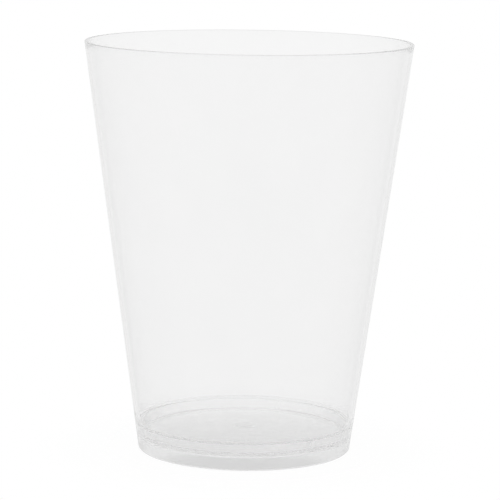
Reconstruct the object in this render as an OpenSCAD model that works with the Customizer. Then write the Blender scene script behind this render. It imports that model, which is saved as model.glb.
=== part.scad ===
// Tumbler cup: a clear drinking cup moulded in one piece. Its wall tapers straight from a plain rounded
// rim down to a foot ring. The floor is held up inside the ring and crowned at its centre. Just above
// the floor the bore steps in to a shoulder, where the foot of the next cup in a stack comes to sit.
// Lengths are in millimetres. The origin is the centre of the foot on the table, with +Z up the axis.

/* [Body] */
// Height from the table to the top of the rim
cup_h = 118; // [90:1:160]
// Outside diameter at the rim
rim_d = 94; // [84:1:110]
// Outside diameter of the taper at the table
foot_d = 61.5; // [52:0.5:70]
// Thickness of the wall, measured level
wall_t = 1; // [0.8:0.1:1.6]
// Radius on both edges of the rim, at most
rim_edge_r = 0.3; // [0.1:0.05:0.7]

/* [Floor and foot] */
// Height of the foot ring, from the table to the floor's underside
foot_ring_h = 4; // [2:0.1:6]
// Thickness of the foot ring at the table, measured level
foot_ring_t = 1.6; // [1.4:0.1:2.4]
// Radius on the outer edge of the foot
foot_outer_edge_r = 0.6; // [0.2:0.1:1.1]
// Radius on the inner edge of the foot
foot_inner_edge_r = 0.3; // [0.1:0.05:0.4]
// Thickness of the floor
floor_t = 1; // [0.8:0.1:2]
// Diameter of the floor's crowned part, at most
crown_d = 50; // [30:1:50]
// Rise of the crown above the floor around it
crown_rise = 1.5; // [0.8:0.1:2.4]
// Radius in the corner between the floor and the wall, inside and underneath
floor_corner_r = 0.5; // [0.2:0.1:0.8]

/* [Gate mark] */
// Diameter of the shallow dish under the centre of the floor
gate_dish_d = 5; // [3:0.5:8]
// Depth of the dish
gate_dish_depth = 0.4; // [0.2:0.1:0.5]
// Diameter of the gate's stub in the dish
gate_stub_d = 1.4; // [0.8:0.1:2]
// Length of the stub
gate_stub_h = 0.6; // [0.3:0.1:1.2]

/* [Stacking shoulder] */
// Gap between the walls of two stacked cups, measured level
stack_gap = 0.05; // [0.05:0.05:0.5]
// Width of the shoulder
shoulder_w = 1.2; // [0.7:0.1:1.3]
// Radius in the corner above the shoulder, at most
shoulder_corner_r = 1.1; // [0.1:0.1:1.2]
// Radius on the edge of the shoulder
shoulder_edge_r = 0.15; // [0.05:0.05:0.15]
// Least height of the shoulder above the floor
shoulder_least_h = 2; // [1.5:0.1:4]
// Number of ribs under the shoulder
rib_count = 3; // [3:1:8]
// Direction of the first rib, in degrees from +X
rib_angle = 69; // [0:1:119]
// Width of a rib
rib_w = 0.8; // [0.5:0.1:1.6]
// How far a rib stands out from the bore below the shoulder
rib_out = 0.4; // [0.2:0.1:0.8]

/* [Mould] */
// Draft of the bore below the shoulder, in degrees
bore_draft = 6; // [0.5:0.5:8]
// Draft of the hollow under the floor, in degrees
hollow_draft = 2; // [0.5:0.5:4]

/* [Hidden] */
$fn = 180;

// The most that a curve of the section departs from its true arc
arc_gap = 0.004;
// How far a rib's root sits in the wall and in the floor
rib_root = 0.3;
// Level gain of the wall for each millimetre of height
taper = (rim_d - foot_d) / 2 / cup_h;
floor_z = foot_ring_h + floor_t;
// A stacked cup comes down until its wall meets this one's, less the gap. The shoulder is at that height.
shoulder_z = max((wall_t + stack_gap) / taper, floor_z + shoulder_least_h);
// The rim's two edges leave a narrow flat between them
rim_r = min(rim_edge_r, 0.45 * wall_t);
// The corner above the shoulder leaves a narrow flat of the shoulder beside its edge
seat_r = min(shoulder_corner_r, 1.1 * (shoulder_w - 1.1 * shoulder_edge_r));
// The crown ends at least a millimetre inside the corner under the floor
crown_edge_x = min(crown_d / 2, on_hollow(foot_ring_h)[0] - floor_corner_r - 1);
// The crown is a cap of a sphere, and a hollow blend of the same radius joins it to the floor around it.
// The two touch halfway out, at touch_angle from the top of the sphere.
crown_r = cap_radius(crown_edge_x / 2, crown_rise / 2);
touch_angle = asin(crown_edge_x / 2 / crown_r);
// The dish is a cap too, with its edge on the underside of the crown
dish_angle = asin(gate_dish_d / 2 / crown_r);
dish_z = foot_ring_h + crown_rise - crown_r * (1 - cos(dish_angle));
dish_r = cap_radius(gate_dish_d / 2, gate_dish_depth);

// Radius of a sphere from the radius and the height of its cap
function cap_radius(r, h) = (r * r + h * h) / (2 * h);

// Points of the section on each of its straight faces, at a height
function on_outer(z) = [foot_d / 2 + taper * z, z];
function on_inner(z) = on_outer(z) - [wall_t, 0];
function on_band(z) = [on_inner(shoulder_z)[0] - shoulder_w - (shoulder_z - z) * tan(bore_draft), z];
function on_hollow(z) = [foot_d / 2 - foot_ring_t - z * tan(hollow_draft), z];

// Points along an arc, as many as keep its chords within arc_gap of it
function arc(centre, r, from, to) =
    let (steps = max(2, ceil(abs(to - from) / acos(1 - arc_gap / r) / 2)))
    [for (i = [0 : steps]) centre + r * [cos(from + (to - from) * i / steps), sin(from + (to - from) * i / steps)]];

// Points along the arc that rounds the corner of a path from a, by the corner, to b
function rounded(a, corner, b, r) =
    let (to_a = (a - corner) / norm(a - corner),
         to_b = (b - corner) / norm(b - corner),
         half_angle = acos(to_a * to_b) / 2,
         reach = r / tan(half_angle),
         centre = corner + (to_a + to_b) / norm(to_a + to_b) * r / sin(half_angle),
         start = corner + to_a * reach - centre,
         end = corner + to_b * reach - centre,
         from = atan2(start[1], start[0]),
         turn = (atan2(end[1], end[0]) - from + 540) % 360 - 180)
    arc(centre, r, from, from + turn);

// The crown from a given angle out to its blend's end, over a floor face at height z
function crown_face(z, from_angle) = concat(
    arc([0, z + crown_rise - crown_r], crown_r, 90 - from_angle, 90 - touch_angle),
    arc([crown_edge_x, z + crown_r], crown_r, 270 - touch_angle, 270));

// The path, begun on the axis with a small flat
function from_axis(points) = concat([[0, points[0][1]]], points);
function reversed(points) = [for (i = [len(points) - 1 : -1 : 0]) points[i]];

// The gate's stub and its dish, from the axis out to the edge of the dish
function gate_face() =
    let (stub_angle = asin(gate_stub_d / 2 / dish_r),
         edge_angle = asin(gate_dish_d / 2 / dish_r),
         centre = [0, dish_z + gate_dish_depth - dish_r],
         stub_z = dish_z + gate_dish_depth - gate_stub_h)
    from_axis(concat([[gate_stub_d / 2, stub_z]], arc(centre, dish_r, 90 - stub_angle, 90 - edge_angle)));

// The underside, from the axis out to the foot
function under_face() = concat(
    gate_face(),
    crown_face(foot_ring_h, dish_angle),
    rounded([0, foot_ring_h], on_hollow(foot_ring_h), on_hollow(0), floor_corner_r),
    rounded(on_hollow(foot_ring_h), on_hollow(0), on_outer(0), foot_inner_edge_r));

// The outside, from the foot up over the rim
function outer_face() = concat(
    rounded(on_hollow(0), on_outer(0), on_outer(cup_h), foot_outer_edge_r),
    rounded(on_outer(0), on_outer(cup_h), on_inner(cup_h), rim_r),
    rounded(on_outer(cup_h), on_inner(cup_h), on_inner(shoulder_z), rim_r));

// The bore, from the shoulder down to the floor and in to the axis
function bore_face() = concat(
    rounded(on_inner(cup_h), on_inner(shoulder_z), on_band(shoulder_z), seat_r),
    rounded(on_inner(shoulder_z), on_band(shoulder_z), on_band(floor_z), shoulder_edge_r),
    rounded(on_band(shoulder_z), on_band(floor_z), [0, floor_z], floor_corner_r),
    reversed(from_axis(crown_face(floor_z, asin(gate_stub_d / 2 / crown_r)))));

// An upright half-round rib from the floor to the shoulder, which keeps the next cup's foot from sticking
module rib() {
    face_x = on_band(floor_z)[0] - rib_out;
    root_x = on_band(shoulder_z)[0] + rib_root;
    round_x = face_x + rib_w / 2;
    translate([0, 0, floor_z - rib_root])
        linear_extrude(shoulder_z - floor_z + rib_root)
            intersection() {
                union() {
                    translate([round_x, 0]) circle(rib_w / 2);
                    translate([round_x, -rib_w / 2]) square([root_x, rib_w]);
                }
                translate([face_x, -rib_w / 2]) square([root_x - face_x, rib_w]);
            }
}

module tumbler() {
    color([0.93, 0.94, 0.94, 0.5]) {
        rotate_extrude() polygon(concat(under_face(), outer_face(), bore_face()));
        for (i = [0 : rib_count - 1])
            rotate(rib_angle + i * 360 / rib_count) rib();
    }
}

tumbler();
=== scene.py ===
"""A clear drinking cup of slightly milky moulded plastic on a white studio floor.

The cup's mesh repeats the section of the CAD part at a finer step, because every facet shows in clear
plastic. Lengths of the cup are in millimetres until the mesh is made, which is in metres.
"""
import math

import bmesh
import bpy
from mathutils import Matrix, Vector


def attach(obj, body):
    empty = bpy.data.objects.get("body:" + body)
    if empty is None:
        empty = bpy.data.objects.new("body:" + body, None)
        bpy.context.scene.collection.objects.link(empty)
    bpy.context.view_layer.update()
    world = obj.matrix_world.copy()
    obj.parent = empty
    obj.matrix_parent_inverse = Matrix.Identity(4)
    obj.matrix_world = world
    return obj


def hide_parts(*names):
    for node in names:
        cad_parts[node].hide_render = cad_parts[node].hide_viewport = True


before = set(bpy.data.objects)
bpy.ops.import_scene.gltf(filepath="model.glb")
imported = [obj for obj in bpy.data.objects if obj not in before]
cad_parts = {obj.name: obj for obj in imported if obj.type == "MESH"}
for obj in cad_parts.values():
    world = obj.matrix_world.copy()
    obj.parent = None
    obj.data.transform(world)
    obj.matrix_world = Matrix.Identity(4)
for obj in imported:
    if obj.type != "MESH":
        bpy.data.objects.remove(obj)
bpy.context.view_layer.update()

MM = 0.001

# Body, as in the part's source
CUP_H = 118
RIM_D = 94
FOOT_D = 61.5
WALL_T = 1
RIM_EDGE_R = 0.3
FOOT_RING_H = 4
FOOT_RING_T = 1.6
FOOT_OUTER_EDGE_R = 0.6
FOOT_INNER_EDGE_R = 0.3
FLOOR_T = 1
CROWN_D = 50
CROWN_RISE = 1.5
FLOOR_CORNER_R = 0.5

# Gate mark under the centre of the floor
GATE_DISH_D = 5
GATE_DISH_DEPTH = 0.4
GATE_STUB_D = 1.4
GATE_STUB_H = 0.6
GATE_STUB_EDGE_R = 0.15

# Stacking shoulder and its ribs
STACK_GAP = 0.05
SHOULDER_W = 1.2
SHOULDER_CORNER_R = 1.1
SHOULDER_EDGE_R = 0.15
SHOULDER_LEAST_H = 2
RIB_COUNT = 3
RIB_ANGLE = 69
RIB_W = 0.8
RIB_OUT = 0.4
BORE_DRAFT = math.radians(6)
HOLLOW_DRAFT = math.radians(6)

# Mesh
ROUND_STEPS = 800
RIB_STEPS = 12
CORNER_STEPS = 7
CROWN_STEPS = 8
DISH_STEPS = 5
# Rings on the wall, as shares of its length: outside from the foot up, inside from the rim down
OUTER_RINGS = (0.03, 0.98)
INNER_RINGS = (0.02, 0.9)
# Around a rib, in halves of its width: how far the even steps are left out, and where one step is put
RIB_CLEARED = 1.6
RIB_BESIDE = 1.3
SMOOTH_BELOW = math.radians(40)

# Camera, fitted to the rim and the foot in the photograph
CAMERA_BACK = 0.722862
CAMERA_UP = 0.173624
CAMERA_PITCH = math.radians(9.096)
CAMERA_ROLL = math.radians(0.828)
CAMERA_YAW = math.radians(0.079)
SENSOR_W = 36
LENS = 182.69
CLIP_START = 0.01

# Plastic. MILKINESS is the scattering in its body for each metre, GREYNESS the absorption.
PLASTIC_IOR = 1.49
WALL_ROUGHNESS = (0.015, 0.04)
CUP_FLOOR_ROUGHNESS = (0.15, 0.25)
BAND_ROUGHNESS = (0.55, 0.65)
MILKINESS = 30
MILK_FORWARD = 0.6
GREYNESS = 2.5
FLOW_STRENGTH = 0.02
FLOW_DEPTH = 0.0005
# A tint's place among the noise's values, and its level
PALE_STOPS = ((0.3, 0.985), (0.7, 0.993))
# Each noise has its scale for each metre, its detail and its stretch along the axes
MOTTLE = (90, 4, (1, 1, 0.6))
HAZE = (45, 3, (1, 1, 1))
FLOW = (60, 2, (1, 1, 0.25))
# The noise values that are spread over a range of roughness
NOISE_RANGE = (0.35, 0.65)

# Where the plastic is dull: on the floor's faces and the foot's hollow, and on the band of the bore under
# the shoulder. Each pair is where that roughness is whole and where it has ended.
FLOOR_FACES_R = (29.3, 29.8)
FLOOR_FACES_Z = (7.8, 9)
BAND_INNER_R = (29.2, 28.8)
BAND_OUTER_R = (29.8, 30.2)
BAND_LOW_Z = (5.1, 4.6)
BAND_HIGH_Z = (7.6, 7.9)

# Surroundings: brightness by the angle from straight ahead of the camera, in degrees. Overhead they turn
# to one level between two heights, in degrees too.
BELOW_HORIZON = (
    (0, 0.96),
    (12, 0.93),
    (20, 0.86),
    (34, 0.88),
    (42, 0.81),
    (56, 0.85),
    (90, 0.86),
    (120, 0.88),
    (180, 0.84),
)
ABOVE_HORIZON = (
    (0, 0.91),
    (12, 0.83),
    (20, 0.92),
    (28, 0.93),
    (42, 0.84),
    (56, 0.83),
    (90, 0.87),
    (120, 0.89),
    (180, 0.84),
)
OVERHEAD = 0.9
OVERHEAD_FROM = 15
OVERHEAD_FULL = 40
LIGHT_THROUGH_CUP = 0.35
FLOOR_SIDES = 96
FLOOR_R = 0.065
FLOOR_FADE_R = 0.035
FLOOR_COLOUR = 0.97
FLOOR_GLOW_CAMERA = 0.97
FLOOR_GLOW_GLASS = 0.47
LIGHT_BOUNCES = 160
SCATTER_BOUNCES = 32

# A colour Mix node's sockets are taken by number, because its other kinds have the same names
MIX_FACTOR = 0
MIX_A = 6
MIX_B = 7
MIX_RESULT = 2

HALF_TURN = math.pi
QUARTER = math.pi / 2
TAPER = (RIM_D - FOOT_D) / 2 / CUP_H
FLOOR_Z = FOOT_RING_H + FLOOR_T
SHOULDER_Z = max((WALL_T + STACK_GAP) / TAPER, FLOOR_Z + SHOULDER_LEAST_H)


def cap_radius(r, h):
    return (r * r + h * h) / (2 * h)


CROWN_R = cap_radius(CROWN_D / 4, CROWN_RISE / 2)
TOUCH_ANGLE = math.asin(CROWN_D / 4 / CROWN_R)
DISH_ANGLE = math.asin(GATE_DISH_D / 2 / CROWN_R)
DISH_Z = FOOT_RING_H + CROWN_RISE - CROWN_R * (1 - math.cos(DISH_ANGLE))
DISH_R = cap_radius(GATE_DISH_D / 2, GATE_DISH_DEPTH)
DISH_TOP = DISH_Z + GATE_DISH_DEPTH


def on_outer(z):
    return Vector((FOOT_D / 2 + TAPER * z, z))


def on_inner(z):
    return on_outer(z) - Vector((WALL_T, 0))


def on_band(z, rib=0.0):
    x = on_inner(SHOULDER_Z)[0] - SHOULDER_W - (SHOULDER_Z - z) * math.tan(BORE_DRAFT)
    return Vector((x - rib, z))


def on_hollow(z):
    return Vector((FOOT_D / 2 - FOOT_RING_T - z * math.tan(HOLLOW_DRAFT), z))


def arc(centre, r, start, end, steps):
    turns = [start + (end - start) * i / steps for i in range(steps + 1)]
    return [Vector(centre) + r * Vector((math.cos(t), math.sin(t))) for t in turns]


def rounded(a, corner, b, r):
    """Points along the arc that rounds the corner of a path from a, by the corner, to b."""
    a, corner, b = Vector(a), Vector(corner), Vector(b)
    to_a = (a - corner).normalized()
    to_b = (b - corner).normalized()
    half = to_a.angle(to_b) / 2
    centre = corner + (to_a + to_b).normalized() * r / math.sin(half)
    first = corner + to_a * r / math.tan(half) - centre
    last = corner + to_b * r / math.tan(half) - centre
    start = math.atan2(first[1], first[0])
    turn = (math.atan2(last[1], last[0]) - start + 3 * HALF_TURN) % (2 * HALF_TURN) - HALF_TURN
    return arc(centre, r, start, start + turn, CORNER_STEPS)


def straight(start, end, shares):
    return [Vector(start).lerp(Vector(end), s) for s in shares]


def crown_face(z, from_angle):
    """The crowned floor from an angle of its cap outwards, over a floor face at height z."""
    cap_centre = (0, z + CROWN_RISE - CROWN_R)
    blend_centre = (CROWN_D / 2, z + CROWN_R)
    cap = arc(cap_centre, CROWN_R, QUARTER - from_angle, QUARTER - TOUCH_ANGLE, CROWN_STEPS)
    blend = arc(blend_centre, CROWN_R, 3 * QUARTER - TOUCH_ANGLE, 3 * QUARTER, CROWN_STEPS)
    return cap + blend[1:]


def gate_face():
    """The gate's stub and its dish, from the axis out to the edge of the dish."""
    stub_z = DISH_TOP - GATE_STUB_H
    edge = rounded((0, stub_z), (GATE_STUB_D / 2, stub_z), (GATE_STUB_D / 2, DISH_TOP), GATE_STUB_EDGE_R)
    start = QUARTER - math.asin(GATE_STUB_D / 2 / DISH_R)
    end = QUARTER - math.asin(GATE_DISH_D / 2 / DISH_R)
    dish = arc((0, DISH_TOP - DISH_R), DISH_R, start, end, DISH_STEPS)
    return [Vector((0, stub_z))] + edge + dish[:-1]


def under_face():
    return (
        gate_face()
        + crown_face(FOOT_RING_H, DISH_ANGLE)
        + rounded((0, FOOT_RING_H), on_hollow(FOOT_RING_H), on_hollow(0), FLOOR_CORNER_R)
        + rounded(on_hollow(FOOT_RING_H), on_hollow(0), on_outer(0), FOOT_INNER_EDGE_R)
    )


def outer_face():
    return (
        rounded(on_hollow(0), on_outer(0), on_outer(CUP_H), FOOT_OUTER_EDGE_R)
        + straight(on_outer(0), on_outer(CUP_H), OUTER_RINGS)
        + rounded(on_outer(0), on_outer(CUP_H), on_inner(CUP_H), RIM_EDGE_R)
        + rounded(on_outer(CUP_H), on_inner(CUP_H), on_inner(SHOULDER_Z), RIM_EDGE_R)
    )


def bore_face(rib):
    top = crown_face(FLOOR_Z, math.asin(GATE_STUB_D / 2 / CROWN_R))
    top = [Vector((0, FLOOR_Z + CROWN_RISE))] + top
    return (
        straight(on_inner(CUP_H), on_inner(0), INNER_RINGS)
        + rounded(on_inner(CUP_H), on_inner(SHOULDER_Z), on_band(SHOULDER_Z), SHOULDER_CORNER_R)
        + rounded(on_inner(SHOULDER_Z), on_band(SHOULDER_Z, rib), on_band(FLOOR_Z, rib), SHOULDER_EDGE_R)
        + rounded(on_band(SHOULDER_Z, rib), on_band(FLOOR_Z, rib), (0, FLOOR_Z), FLOOR_CORNER_R)
        + top[::-1]
    )


def rib_height(angle):
    """How far a rib stands out of the bore at an angle, in millimetres."""
    for k in range(RIB_COUNT):
        off = (angle - RIB_ANGLE - 360 * k / RIB_COUNT + 180) % 360 - 180
        across = math.radians(off) * on_band(FLOOR_Z)[0]
        if abs(across) < RIB_W / 2:
            return max(0.0, RIB_OUT - RIB_W / 2 + math.sqrt((RIB_W / 2) ** 2 - across * across))
    return 0.0


def round_angles():
    """The mesh's angles in degrees, closer together at the ribs."""
    half = math.degrees(RIB_W / 2 / on_band(FLOOR_Z)[0])
    angles = [360 * i / ROUND_STEPS for i in range(ROUND_STEPS)]
    for k in range(RIB_COUNT):
        mid = RIB_ANGLE + 360 * k / RIB_COUNT
        angles = [a for a in angles if abs((a - mid + 180) % 360 - 180) > RIB_CLEARED * half]
        angles += [(mid + RIB_BESIDE * half * side) % 360 for side in (-1, 1)]
        for i in range(RIB_STEPS + 1):
            angles.append((mid + half * math.sin(math.radians(180 * i / RIB_STEPS - 90))) % 360)
    return sorted(angles)


def cup_mesh():
    bm = bmesh.new()
    rings = []
    ends = None
    for angle in round_angles():
        points = under_face() + outer_face() + bore_face(rib_height(angle))
        c = math.cos(math.radians(angle)) * MM
        s = math.sin(math.radians(angle)) * MM
        if ends is None:
            ends = [bm.verts.new((0, 0, points[i][1] * MM)) for i in (0, -1)]
        ring = [bm.verts.new((p[0] * c, p[0] * s, p[1] * MM)) for p in points[1:-1]]
        rings.append([ends[0]] + ring + [ends[1]])
    for ring, after in zip(rings, rings[1:] + rings[:1]):
        for j in range(len(ring) - 1):
            corners = [ring[j], after[j], after[j + 1], ring[j + 1]]
            bm.faces.new(list(dict.fromkeys(corners)))
    bmesh.ops.recalc_face_normals(bm, faces=bm.faces)
    mesh = bpy.data.meshes.new("cup")
    bm.to_mesh(mesh)
    bm.free()
    mesh.shade_smooth()
    mesh.set_sharp_from_angle(angle=SMOOTH_BELOW)
    return mesh


def new_object(name, data):
    made = bpy.data.objects.new(name, data)
    bpy.context.scene.collection.objects.link(made)
    return made


def grey(level):
    return (level, level, level, 1)


def calculated(tree, operation, *values):
    """A Math node's result. Each value is a socket or a number."""
    node = tree.nodes.new("ShaderNodeMath")
    node.operation = operation
    for socket, value in zip(node.inputs, values):
        if isinstance(value, (int, float)):
            socket.default_value = value
        else:
            tree.links.new(value, socket)
    return node.outputs["Value"]


def mixed(tree, factor, first, second):
    """A colour taken by a factor towards a second one, which is a socket or a grey level."""
    node = tree.nodes.new("ShaderNodeMix")
    node.data_type = "RGBA"
    tree.links.new(factor, node.inputs[MIX_FACTOR])
    tree.links.new(first, node.inputs[MIX_A])
    if isinstance(second, (int, float)):
        node.inputs[MIX_B].default_value = grey(second)
    else:
        tree.links.new(second, node.inputs[MIX_B])
    return node.outputs[MIX_RESULT]


def mapped_noise(tree, scale, detail, stretch):
    """A noise in the object's own coordinates, stretched along its axes."""
    place = tree.nodes.new("ShaderNodeTexCoord")
    mapping = tree.nodes.new("ShaderNodeMapping")
    mapping.inputs["Scale"].default_value = stretch
    noise = tree.nodes.new("ShaderNodeTexNoise")
    noise.inputs["Scale"].default_value = scale
    noise.inputs["Detail"].default_value = detail
    tree.links.new(place.outputs["Object"], mapping.inputs["Vector"])
    tree.links.new(mapping.outputs["Vector"], noise.inputs["Vector"])
    return noise.outputs["Fac"]


def to_range(tree, source, low, high):
    """A noise's values spread from low to high."""
    spread = tree.nodes.new("ShaderNodeMapRange")
    spread.inputs["From Min"].default_value = NOISE_RANGE[0]
    spread.inputs["From Max"].default_value = NOISE_RANGE[1]
    spread.inputs["To Min"].default_value = low
    spread.inputs["To Max"].default_value = high
    tree.links.new(source, spread.inputs["Value"])
    return spread.outputs["Result"]


def share_of(tree, value, whole, ended):
    """1 where a length is at whole, 0 where it is at ended, both in millimetres."""
    node = tree.nodes.new("ShaderNodeMapRange")
    node.inputs["From Min"].default_value = ended * MM
    node.inputs["From Max"].default_value = whole * MM
    tree.links.new(value, node.inputs["Value"])
    return node.outputs["Result"]


def distance_from_axis(tree):
    place = tree.nodes.new("ShaderNodeTexCoord")
    flat = tree.nodes.new("ShaderNodeVectorMath")
    flat.operation = "MULTIPLY"
    flat.inputs[1].default_value = (1, 1, 0)
    tree.links.new(place.outputs["Object"], flat.inputs[0])
    length = tree.nodes.new("ShaderNodeVectorMath")
    length.operation = "LENGTH"
    tree.links.new(flat.outputs["Vector"], length.inputs[0])
    return length.outputs["Value"]


def height_above_table(tree):
    place = tree.nodes.new("ShaderNodeTexCoord")
    split = tree.nodes.new("ShaderNodeSeparateXYZ")
    tree.links.new(place.outputs["Object"], split.inputs["Vector"])
    return split.outputs["Z"]


def floor_share(tree):
    """1 on the faces of the cup's floor and the foot's hollow, 0 elsewhere."""
    inside = share_of(tree, distance_from_axis(tree), *FLOOR_FACES_R)
    low = share_of(tree, height_above_table(tree), *FLOOR_FACES_Z)
    return calculated(tree, "MULTIPLY", inside, low)


def band_share(tree):
    """1 on the bore between the floor and the shoulder, 0 elsewhere."""
    radius = distance_from_axis(tree)
    height = height_above_table(tree)
    inside = share_of(tree, radius, *BAND_OUTER_R)
    outside = share_of(tree, radius, *BAND_INNER_R)
    above = share_of(tree, height, *BAND_LOW_Z)
    below = share_of(tree, height, *BAND_HIGH_Z)
    ring = calculated(tree, "MULTIPLY", inside, outside)
    layer = calculated(tree, "MULTIPLY", above, below)
    return calculated(tree, "MULTIPLY", ring, layer)


def pale_tint(tree):
    """The faint mottle of the plastic's colour."""
    ramp = tree.nodes.new("ShaderNodeValToRGB")
    for stop, (position, level) in zip(ramp.color_ramp.elements, PALE_STOPS):
        stop.position = position
        stop.color = grey(level)
    tree.links.new(mapped_noise(tree, *MOTTLE), ramp.inputs["Fac"])
    return ramp.outputs["Color"]


def roughness_by_place(tree):
    """Nearly clear walls, a duller floor and a frosted band under the shoulder."""
    haze = mapped_noise(tree, *HAZE)
    rough = tree.nodes.new("ShaderNodeMix")
    tree.links.new(floor_share(tree), rough.inputs["Factor"])
    tree.links.new(to_range(tree, haze, *WALL_ROUGHNESS), rough.inputs["A"])
    tree.links.new(to_range(tree, haze, *CUP_FLOOR_ROUGHNESS), rough.inputs["B"])
    frosted = tree.nodes.new("ShaderNodeMix")
    tree.links.new(band_share(tree), frosted.inputs["Factor"])
    tree.links.new(rough.outputs["Result"], frosted.inputs["A"])
    tree.links.new(to_range(tree, haze, *BAND_ROUGHNESS), frosted.inputs["B"])
    return frosted.outputs["Result"]


def milky_body(tree):
    """A little scattering and a little absorption inside the plastic."""
    milk = tree.nodes.new("ShaderNodeVolumeScatter")
    milk.inputs["Color"].default_value = grey(1)
    milk.inputs["Density"].default_value = MILKINESS
    milk.inputs["Anisotropy"].default_value = MILK_FORWARD
    smoke = tree.nodes.new("ShaderNodeVolumeAbsorption")
    smoke.inputs["Color"].default_value = grey(0)
    smoke.inputs["Density"].default_value = GREYNESS
    body = tree.nodes.new("ShaderNodeAddShader")
    tree.links.new(milk.outputs["Volume"], body.inputs[0])
    tree.links.new(smoke.outputs["Volume"], body.inputs[1])
    return body.outputs["Shader"]


def plastic():
    """Clear polypropylene: a little milky, faintly mottled by the flow in the mould."""
    material = bpy.data.materials.new("clear_plastic")
    material.use_nodes = True
    tree = material.node_tree
    shader = tree.nodes["Principled BSDF"]
    shader.inputs["Transmission Weight"].default_value = 1.0
    shader.inputs["IOR"].default_value = PLASTIC_IOR
    tree.links.new(pale_tint(tree), shader.inputs["Base Color"])
    tree.links.new(roughness_by_place(tree), shader.inputs["Roughness"])
    bump = tree.nodes.new("ShaderNodeBump")
    bump.inputs["Strength"].default_value = FLOW_STRENGTH
    bump.inputs["Distance"].default_value = FLOW_DEPTH
    tree.links.new(mapped_noise(tree, *FLOW), bump.inputs["Height"])
    tree.links.new(bump.outputs["Normal"], shader.inputs["Normal"])
    tree.links.new(milky_body(tree), tree.nodes["Material Output"].inputs["Volume"])
    return material


def floor_material():
    """White paper, lifted by a glow for the camera and in the plastic. The rest of it takes the shadow."""
    material = bpy.data.materials.new("white_floor")
    material.use_nodes = True
    tree = material.node_tree
    tree.nodes.clear()
    out = tree.nodes.new("ShaderNodeOutputMaterial")
    paper = tree.nodes.new("ShaderNodeBsdfDiffuse")
    paper.inputs["Color"].default_value = grey(FLOOR_COLOUR)
    glow = tree.nodes.new("ShaderNodeEmission")
    glow.inputs["Strength"].default_value = 1.0
    path = tree.nodes.new("ShaderNodeLightPath")
    glossy = path.outputs["Is Glossy Ray"]
    transmitted = path.outputs["Is Transmission Ray"]
    glass = calculated(tree, "MAXIMUM", glossy, transmitted)
    seen = calculated(tree, "MULTIPLY", path.outputs["Is Camera Ray"], FLOOR_GLOW_CAMERA)
    seen_in_cup = calculated(tree, "MULTIPLY", glass, FLOOR_GLOW_GLASS)
    lifted = tree.nodes.new("ShaderNodeMixShader")
    tree.links.new(calculated(tree, "MAXIMUM", seen, seen_in_cup), lifted.inputs["Fac"])
    tree.links.new(paper.outputs["BSDF"], lifted.inputs[1])
    tree.links.new(glow.outputs["Emission"], lifted.inputs[2])
    clear = tree.nodes.new("ShaderNodeBsdfTransparent")
    ground = tree.nodes.new("ShaderNodeMixShader")
    tree.links.new(floor_fade(tree), ground.inputs["Fac"])
    tree.links.new(lifted.outputs["Shader"], ground.inputs[1])
    tree.links.new(clear.outputs["BSDF"], ground.inputs[2])
    tree.links.new(ground.outputs["Shader"], out.inputs["Surface"])
    return material


def floor_fade(tree):
    """A share that grows from 0 to 1 towards the edge of the floor."""
    share = tree.nodes.new("ShaderNodeMapRange")
    share.interpolation_type = "SMOOTHSTEP"
    share.inputs["From Min"].default_value = FLOOR_FADE_R
    share.inputs["From Max"].default_value = FLOOR_R
    tree.links.new(distance_from_axis(tree), share.inputs["Value"])
    return share.outputs["Result"]


def make_floor():
    bm = bmesh.new()
    bmesh.ops.create_circle(bm, cap_ends=True, segments=FLOOR_SIDES, radius=FLOOR_R)
    mesh = bpy.data.meshes.new("floor")
    bm.to_mesh(mesh)
    bm.free()
    mesh.materials.append(floor_material())
    floor = new_object("floor", mesh)


def ramp_of(tree, angle, levels):
    """A grey by the share of a half turn, from levels given at angles in degrees."""
    ramp = tree.nodes.new("ShaderNodeValToRGB")
    tree.links.new(angle, ramp.inputs["Fac"])
    stops = ramp.color_ramp.elements
    stops[0].position = 0.0
    stops[0].color = grey(levels[0][1])
    stops[1].position = 1.0
    stops[1].color = grey(levels[-1][1])
    for degrees, level in levels[1:-1]:
        stops.new(degrees / 180).color = grey(level)
    return ramp.outputs["Color"]


def brightness_by_direction(tree):
    """Brightest ahead of the camera, greyer to the sides, behind and overhead."""
    place = tree.nodes.new("ShaderNodeTexCoord")
    split = tree.nodes.new("ShaderNodeSeparateXYZ")
    tree.links.new(place.outputs["Generated"], split.inputs["Vector"])
    turn = calculated(tree, "MULTIPLY", calculated(tree, "ARCCOSINE", split.outputs["Y"]), 1 / math.pi)
    raised = calculated(tree, "GREATER_THAN", split.outputs["Z"], 0.0)
    sides = mixed(tree, raised, ramp_of(tree, turn, BELOW_HORIZON), ramp_of(tree, turn, ABOVE_HORIZON))
    high = tree.nodes.new("ShaderNodeMapRange")
    high.inputs["From Min"].default_value = math.sin(math.radians(OVERHEAD_FROM))
    high.inputs["From Max"].default_value = math.sin(math.radians(OVERHEAD_FULL))
    tree.links.new(split.outputs["Z"], high.inputs["Value"])
    return mixed(tree, high.outputs["Result"], sides, OVERHEAD)


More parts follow.
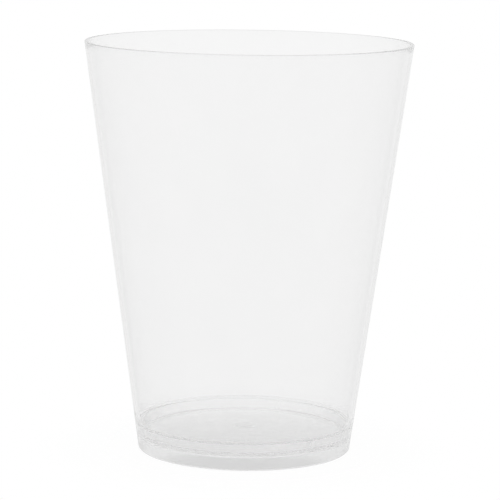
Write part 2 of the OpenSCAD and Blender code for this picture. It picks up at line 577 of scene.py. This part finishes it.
def make_world():
    world = bpy.data.worlds.new("studio")
    bpy.context.scene.world = world
    world.use_nodes = True
    tree = world.node_tree
    tree.nodes.clear()
    out = tree.nodes.new("ShaderNodeOutputWorld")
    back = tree.nodes.new("ShaderNodeBackground")
    path = tree.nodes.new("ShaderNodeLightPath")
    colour = brightness_by_direction(tree)
    from_floor = calculated(tree, "GREATER_THAN", path.outputs["Diffuse Depth"], 0.5)
    colour = mixed(tree, from_floor, colour, LIGHT_THROUGH_CUP)
    colour = mixed(tree, path.outputs["Is Diffuse Ray"], colour, 1.0)
    colour = mixed(tree, path.outputs["Is Camera Ray"], colour, 1.0)
    tree.links.new(colour, back.inputs["Color"])
    tree.links.new(back.outputs["Background"], out.inputs["Surface"])


def make_camera():
    data = bpy.data.cameras.new("camera")
    data.sensor_width = SENSOR_W
    data.lens = LENS
    data.clip_start = CLIP_START
    camera = new_object("camera", data)
    cp, sp = math.cos(CAMERA_PITCH), math.sin(CAMERA_PITCH)
    cy, sy = math.cos(CAMERA_YAW), math.sin(CAMERA_YAW)
    cr, sr = math.cos(CAMERA_ROLL), math.sin(CAMERA_ROLL)
    ahead = Vector((sy * cp, cy * cp, -sp))
    right = Vector((cy, -sy, 0))
    up = right.cross(ahead)
    turned_right = right * cr + up * sr
    turned_up = up * cr - right * sr
    matrix = Matrix((turned_right, turned_up, -ahead)).transposed().to_4x4()
    matrix.translation = Vector((0, -CAMERA_BACK, CAMERA_UP))
    camera.matrix_world = matrix
    bpy.context.scene.camera = camera


def make_cup():
    mesh = cup_mesh()
    mesh.materials.append(plastic())
    cup = new_object("cup", mesh)
    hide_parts("tumbler")
    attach(cup, "root")


make_camera()
make_cup()
make_floor()
make_world()
bpy.context.scene.view_settings.view_transform = "Standard"
bpy.context.scene.cycles.max_bounces = LIGHT_BOUNCES
bpy.context.scene.cycles.transmission_bounces = LIGHT_BOUNCES
bpy.context.scene.cycles.glossy_bounces = LIGHT_BOUNCES
bpy.context.scene.cycles.volume_bounces = SCATTER_BOUNCES
bpy.context.scene.cycles.blur_glossy = 0
